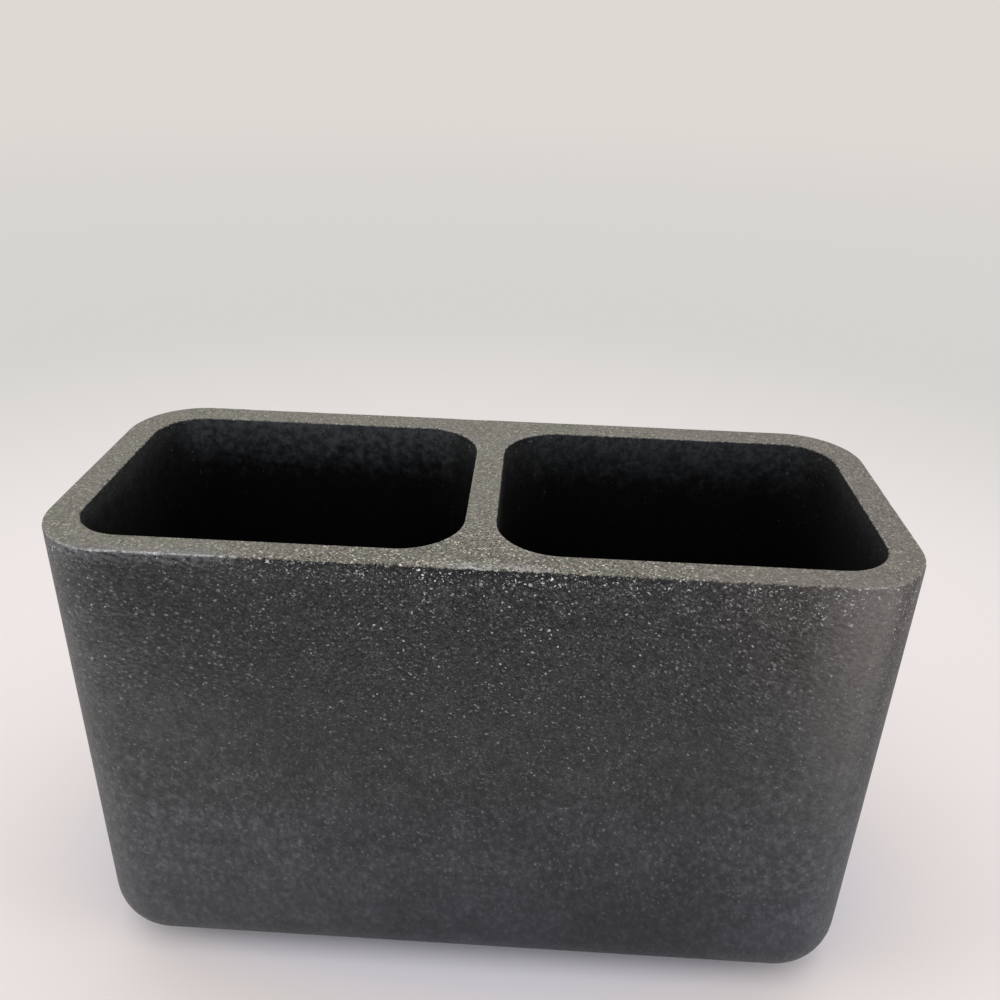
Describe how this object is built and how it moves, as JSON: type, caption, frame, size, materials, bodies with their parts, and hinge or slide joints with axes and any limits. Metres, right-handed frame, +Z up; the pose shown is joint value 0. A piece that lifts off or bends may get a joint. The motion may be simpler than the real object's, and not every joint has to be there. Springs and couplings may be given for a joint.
{
  "type": "toothbrush holder",
  "caption": "Free-standing toothbrush holder: a rectangular cast stone-effect block with rounded corners and deep open compartments side by side, on anti-slip pads.",
  "frame": {"origin": "middle of the area that the pads stand on, at the bottom", "axes": "+X along the block's length, +Y from front to back, +Z up"},
  "size_m": [0.12, 0.05, 0.0766],
  "materials": {
    "cast_stone": "matt, speckled with fine pale grains",
    "pad_rubber": "matt"
  },
  "bodies": {
    "root": {"body": "cast_stone", "pad_front_left": "pad_rubber", "pad_front_right": "pad_rubber", "pad_back_left": "pad_rubber", "pad_back_right": "pad_rubber"}
  },
  "joints": []
}
